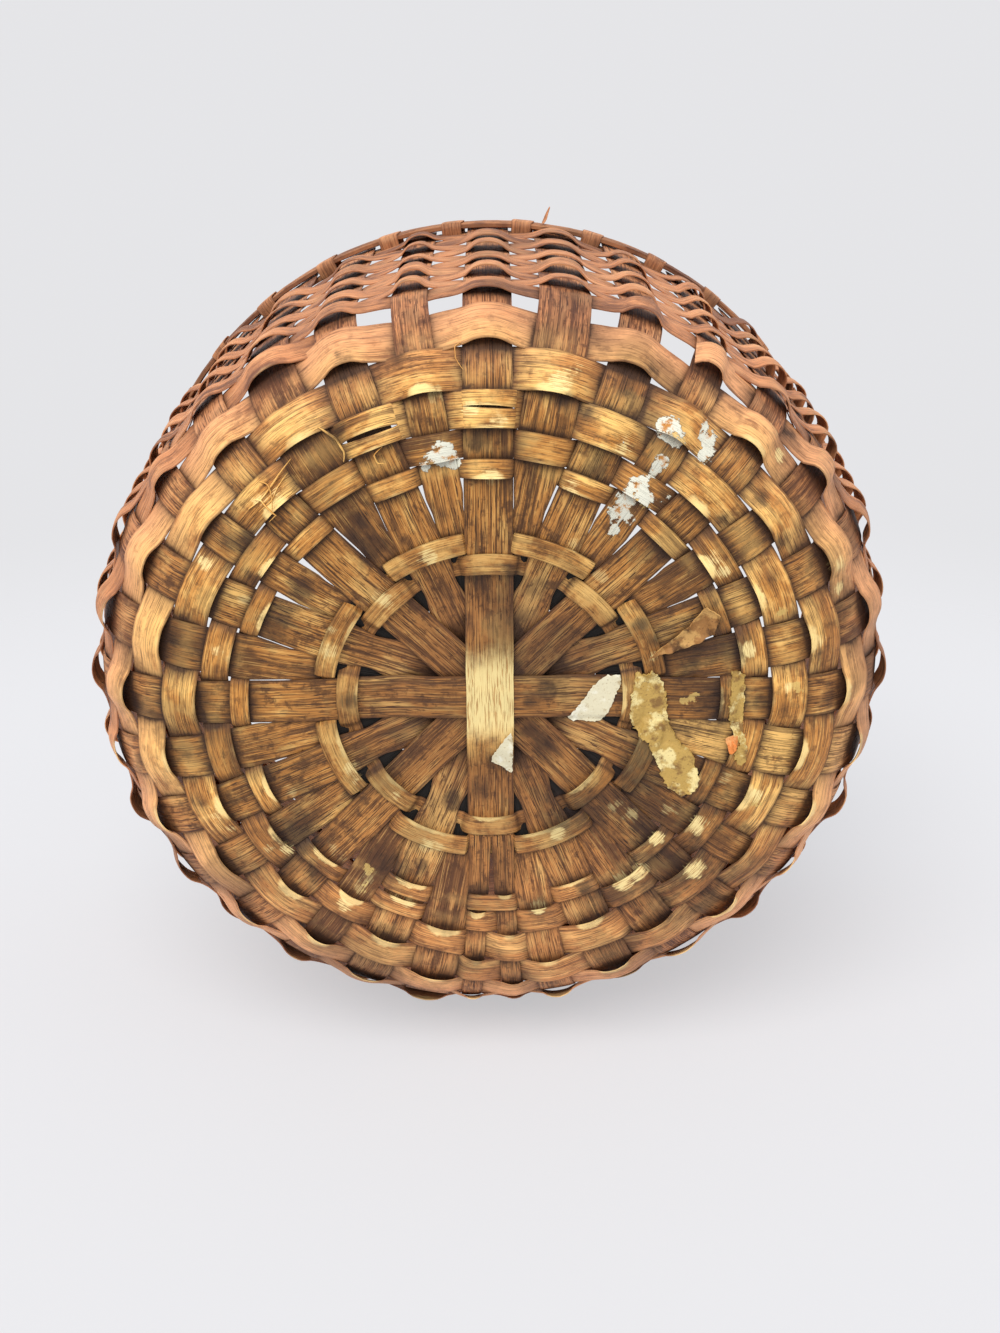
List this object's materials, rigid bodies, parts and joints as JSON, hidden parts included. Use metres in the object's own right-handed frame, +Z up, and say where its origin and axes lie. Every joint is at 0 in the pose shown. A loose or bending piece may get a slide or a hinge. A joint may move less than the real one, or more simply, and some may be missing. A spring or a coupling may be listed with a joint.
{
  "type": "woven splint harvest basket",
  "caption": "Round open harvest basket woven from flat wood splints, with a raised bottom, upright wall and a lashed two-hoop rim.",
  "frame": {"origin": "centre of the flat circle that the basket stands on", "axes": "+Z up through the mouth; +Y away from the split stake's opposite side, so that the split stake stands at +Y and +X is to its right seen from inside"},
  "size_m": [0.399, 0.3843, 0.2321],
  "materials": {
    "stake_splint": "old hand-split ash, dry, dark olive-brown grain",
    "filler_splint": "old hand-split ash, dry, golden brown",
    "ring_splint": "old hand-split ash, dry, rubbed paler",
    "base_weaver": "old hand-split ash, dry, golden brown with dark grain",
    "wall_weaver": "old hand-split ash, dry, orange brown",
    "rim_hoop": "thicker shaved ash, dark brown",
    "lashing_splint": "thin split ash, light orange brown",
    "old_paper": "torn old paper, bare, with glue stain"
  },
  "bodies": {
    "root": {"cross_splint_1": "stake_splint", "cross_splint_2": "stake_splint", "cross_splint_3": "stake_splint", "cross_splint_4": "stake_splint", "cross_splint_5": "stake_splint", "cross_splint_6": "stake_splint", "cross_splint_7": "stake_splint", "cross_splint_8": "stake_splint", "filler_01": "filler_splint", "filler_02": "filler_splint", "filler_03": "filler_splint", "filler_04": "filler_splint", "filler_05": "filler_splint", "filler_06": "filler_splint", "filler_07": "filler_splint", "filler_08": "filler_splint", "filler_09": "filler_splint", "filler_10": "filler_splint", "filler_11": "filler_splint", "filler_12": "filler_splint", "filler_13": "filler_splint", "filler_14": "filler_splint", "filler_15": "filler_splint", "filler_16": "filler_splint", "ring_first": "ring_splint", "ring_second": "ring_splint", "weaver_01": "base_weaver", "weaver_02": "base_weaver", "weaver_03": "base_weaver", "weaver_04": "wall_weaver", "weaver_05": "wall_weaver", "weaver_06": "wall_weaver", "weaver_07": "wall_weaver", "weaver_08": "wall_weaver", "weaver_09": "wall_weaver", "weaver_10": "wall_weaver", "rim_hoop_outer": "rim_hoop", "rim_hoop_inner": "rim_hoop", "rim_lashing": "lashing_splint", "paper_scrap_1": "old_paper", "paper_scrap_2": "old_paper"}
  },
  "joints": []
}
